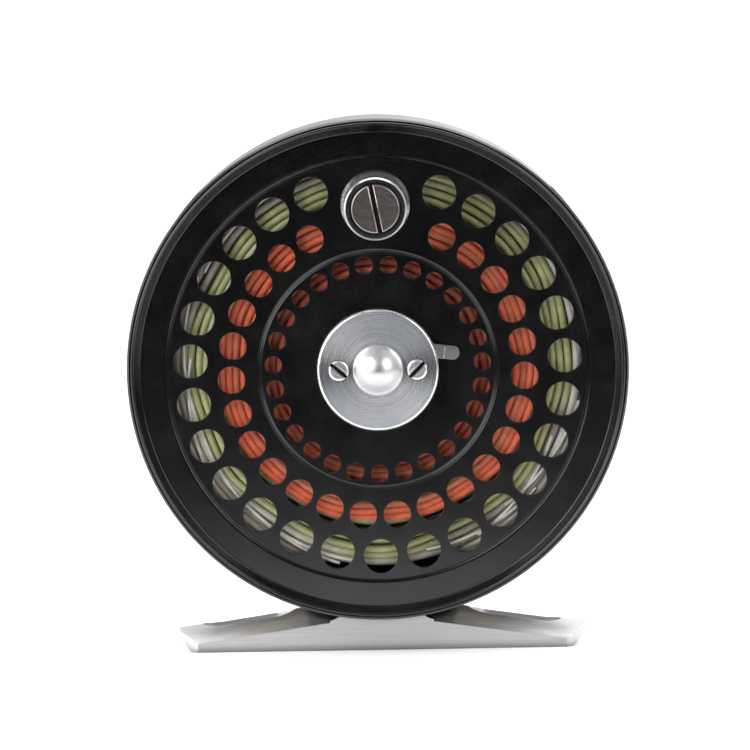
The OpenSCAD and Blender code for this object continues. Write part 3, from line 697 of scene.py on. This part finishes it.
# the outermost layer over the spool's width, seen through the cage's windows
turns, w_lo, w_hi = 14, -6.2, 9.3
for k in range(turns):
    wa = w_lo + (w_hi - w_lo) * k / (turns - 1)
    wr, ww = wob(0.10, 4), wob(0.22, 4)
    pick = rng.random()
    c0 = GREY if pick < 0.5 else BEIGE
    cn = wob(0.4, 5)
    lead.loop(lambda t, wr=wr: 30.25 + 1.05 * math.sin(t) + wr(t), lambda t, ww=ww, wa=wa: wa + ww(t), 0.62,
              lambda t, c0=c0, cn=cn: mixc(c0, CREAM if c0 != OLIVE else OLIVE2, clamp(0.2 + cn(t), 0.0, 0.8)), n=240, sides=10)
for k in range(turns - 1):
    wa = w_lo + (w_hi - w_lo) * (k + 0.5) / (turns - 1)
    lead.loop(lambda t: 29.3 + 1.0 * math.sin(t), lambda t, wa=wa: wa, 0.62, lambda t: BROWN, n=160, sides=8)
line.build(M_LINE, "fly_line")
lead.build(M_LEADER, "leader")
# a filler ring inside the winding, painted near-black: painted shade deep between the turns
core = lathe("line_core_shade", [(12.0, -6.85), (28.0, -6.85), (28.6, -6.2), (28.6, 7.6), (28.0, 8.0), (12.0, 8.0)], segs=128)
core_shade_mat = Mat("line_core_shade", base=(0.05, 0.04, 0.03), rough=0.8)
core_shade_mat.bump(core_shade_mat.noise(core_shade_mat.obj_coord(), 900.0, 3.0), 0.5, 0.0001)
use(core, core_shade_mat.m, "spool", "backing")

# ------------------------------------------------------------------ slotted screw heads
def slotted(name, at, r, gap, ang, w_base, w_slot, w_top, bevel, mat, body, node):
    """A slotted head: a base disc with two rounded D-shaped halves on it."""
    base = lathe(name + "_base", [(0, w_base), (r - 0.08, w_base), (r - 0.04, w_base + 0.05), (r - 0.04, w_slot), (0, w_slot)], segs=96, at=at)
    # the base disc shows only through the slot; its near-black material is painted shade
    use(base, M_SLOT_SHADE, body, node)
    for side in (0, 1):
        h = gap / 2
        a0 = math.asin(h / r)
        pts = [(r * math.cos(a), r * math.sin(a)) for a in [a0 + (math.pi - 2 * a0) * k / 72 for k in range(73)]]
        turn = math.radians(ang + 180 * side)
        pts = [(x * math.cos(turn) - y * math.sin(turn), x * math.sin(turn) + y * math.cos(turn)) for x, y in pts]
        half = plate(f"{name}_half_{side}", pts, [], w_slot - 0.05, w_top, bevel=bevel, at=at)
        use(half, mat, body, node)


cap_face = plate("cap_face", circle_pts(0, 0, 8.86, 200), [circle_pts(0, 0, 3.5, 120), circle_pts(5.95, 0, 1.63, 64), circle_pts(-5.95, 0, 1.63, 64)], 13.65, 14.45, bevel=0.04)
use(cap_face, M_COVER, "spool", "latch_cover")
cap_edge = lathe("cap_edge", [(8.80, 13.65), (9.25, 13.65), (9.25, 14.08), (9.23, 14.14), (9.19, 14.20), (9.00, 14.38), (8.93, 14.43), (8.86, 14.45), (8.80, 14.45)], segs=256)
use(cap_edge, M_EDGE, "spool", "latch_cover")
cap_skirt = lathe("cap_skirt", [(8.35, 12.62), (9.20, 12.62), (9.25, 12.67), (9.25, 13.66), (8.35, 13.66)], segs=220, angle=(33.0, 352.5))
use(cap_skirt, M_EDGE, "spool", "latch_cover")
cap_dome = lathe("cap_dome", [(0.0, 15.6), (1.9, 15.6), (2.6, 15.0), (2.6, 13.65), (3.55, 13.65), (3.55, 14.40), (3.78, 14.44), (3.80, 14.50), (3.74, 14.56), (3.66, 14.58), (3.60, 14.66), (3.52, 14.85),
                               (3.38, 15.08), (3.18, 15.33), (2.95, 15.56), (2.66, 15.84), (2.35, 16.12), (2.05, 16.34), (1.75, 16.53), (1.45, 16.69), (1.15, 16.82), (0.85, 16.92), (0.55, 16.99), (0.28, 17.03), (0.0, 17.05)],
                 segs=200, sharp=60)
use(cap_dome, M_DOME, "spool", "latch_cover")

HY = 25.1
slotted("handle_screw_head", (0.0, HY), 3.6, 0.62, 101, 30.5, 30.9, 31.42, 0.17, M_DARKSCREW, "spool", "handle_screw")
for sx_, ang_ in ((1, 45), (-1, -40)):
    slotted("cap_screw_r" if sx_ > 0 else "cap_screw_l", (sx_ * 5.95, 0.0), 1.55, 0.40, ang_, 13.9, 14.15, 14.95, 0.34, M_CAPSCREW, "spool", "latch_screws")

# ------------------------------------------------------------------ CAD nodes with slightly rounded edges
crisp("front_ring", 0.05, 2)
crisp("top_bridge", 0.10, 2)
crisp("bottom_bridge", 0.10, 2)
crisp("cage_bars", 0.12, 2)
crisp("latch_lever", 0.10, 2)

# ------------------------------------------------------------------ stage
floor_me = bpy.data.meshes.new("floor")
S = 6.0
floor_me.from_pydata([(-S, -0.17, 0), (S, -0.17, 0), (S, 12, 0), (-S, 12, 0)], [], [(0, 1, 2, 3)])
floor = bpy.data.objects.new("floor", floor_me)
coll.objects.link(floor)
fm = Mat("floor_white", base=(0.86, 0.86, 0.86), rough=0.6, spec=0.25)
fm.link(fm.ramp(fm.noise(fm.obj_coord(), 30.0, 2.0), [(0.3, (0.855, 0.855, 0.857)), (0.7, (0.865, 0.865, 0.865))]), fm.p.inputs["Base Color"])
fm.p.inputs["Emission Color"].default_value = (1, 1, 1, 1)
fm.link(fm.rng(fm.node("ShaderNodeSeparateXYZ").outputs["Y"], 0.6, 3.0, 0.29, 0.75), fm.p.inputs["Emission Strength"])
for n_ in fm.nt.nodes:
    if n_.type == "SEPXYZ":
        fm.link(fm.tc.outputs["Object"], n_.inputs[0])
floor_me.materials.append(fm.m)

# world: paler behind and to the sides, dimmer on the camera's side
world = bpy.data.worlds.new("studio")
scene.world = world
world.use_nodes = True
wt = world.node_tree
wt.nodes.clear()
wo = wt.nodes.new("ShaderNodeOutputWorld")
bg = wt.nodes.new("ShaderNodeBackground")
tc = wt.nodes.new("ShaderNodeTexCoord")
sp = wt.nodes.new("ShaderNodeSeparateXYZ")
mr = wt.nodes.new("ShaderNodeMapRange")
mr.inputs["From Min"].default_value = -0.25
mr.inputs["From Max"].default_value = 0.25
mr.inputs["To Min"].default_value = 0.025
mr.inputs["To Max"].default_value = 1.3
mr.interpolation_type = "SMOOTHSTEP"
wt.links.new(tc.outputs["Generated"], sp.inputs[0])
wt.links.new(sp.outputs["Y"], mr.inputs["Value"])
mx = wt.nodes.new("ShaderNodeMapRange")
mx.inputs["From Min"].default_value = -0.14
mx.inputs["From Max"].default_value = 0.14
mx.inputs["To Min"].default_value = 0.62
mx.inputs["To Max"].default_value = 1.12
mx.interpolation_type = "SMOOTHSTEP"
wt.links.new(sp.outputs["X"], mx.inputs["Value"])
mm = wt.nodes.new("ShaderNodeMath")
mm.operation = "MULTIPLY"
wt.links.new(mr.outputs[0], mm.inputs[0])
wt.links.new(mx.outputs[0], mm.inputs[1])
lp = wt.nodes.new("ShaderNodeLightPath")
ms = wt.nodes.new("ShaderNodeMix")
ms.data_type = "FLOAT"
wt.links.new(lp.outputs["Is Camera Ray"], ms.inputs["Factor"])
wt.links.new(mm.outputs[0], ms.inputs["A"])
ms.inputs["B"].default_value = 1.25
wt.links.new(ms.outputs["Result"], bg.inputs["Strength"])
bg.inputs["Color"].default_value = (1, 1, 1, 1)
wt.links.new(bg.outputs[0], wo.inputs[0])


def area(name, loc, target, sx, sy, radiance, col=(1, 1, 1)):
    li = bpy.data.lights.new(name, "AREA")
    li.shape = "RECTANGLE"
    li.size, li.size_y = sx, sy
    li.energy = radiance * math.pi * sx * sy
    li.color = col
    ob = bpy.data.objects.new(name, li)
    ob.location = loc
    d = Vector(target) - Vector(loc)
    ob.rotation_euler = d.to_track_quat("-Z", "Y").to_euler()
    coll.objects.link(ob)
    return ob


T = (0, 0, 0.045)
area("soft_left", (-0.62, -0.60, 0.50), T, 0.66, 0.84, 4.8)
area("soft_right", (0.68, -0.55, 0.50), T, 0.52, 0.78, 3.6)
area("soft_top", (0.0, 0.22, 0.95), T, 1.1, 0.55, 3.0)
area("fill_front", (0.0, -1.15, 0.80), T, 0.55, 0.4, 0.8)
area("side_left", (-1.0, 0.02, 0.36), T, 0.45, 0.8, 3.0)

# ------------------------------------------------------------------ camera
cam_d = bpy.data.cameras.new("camera")
cam = bpy.data.objects.new("camera", cam_d)
coll.objects.link(cam)
scene.camera = cam
cam_d.sensor_width = 36.0
cam_d.lens = 316.6
cam_d.clip_start = 0.05
cam_d.clip_end = 60
cam_d.dof.use_dof = False
EL = math.radians(3.7)
DIST = 1.0
rim_c = Vector((0, -0.0136, ZC * MM))
fwd = Vector((0, math.cos(EL), -math.sin(EL)))
cam.location = rim_c - fwd * DIST
right = Vector((1, 0, 0))
up = right.cross(fwd)
px = 0.1516 * MM
aim = rim_c - right * (3.0 * px) - up * (5.1 * px)
q = (aim - cam.location).to_track_quat("-Z", "Y")
from mathutils import Quaternion
roll = Quaternion((0, 0, 1), math.radians(-0.95))
cam.rotation_mode = "QUATERNION"
cam.rotation_quaternion = q @ roll

scene.view_settings.view_transform = "Standard"
scene.view_settings.look = "None"
scene.view_settings.exposure = 0.0
scene.view_settings.gamma = 1.0
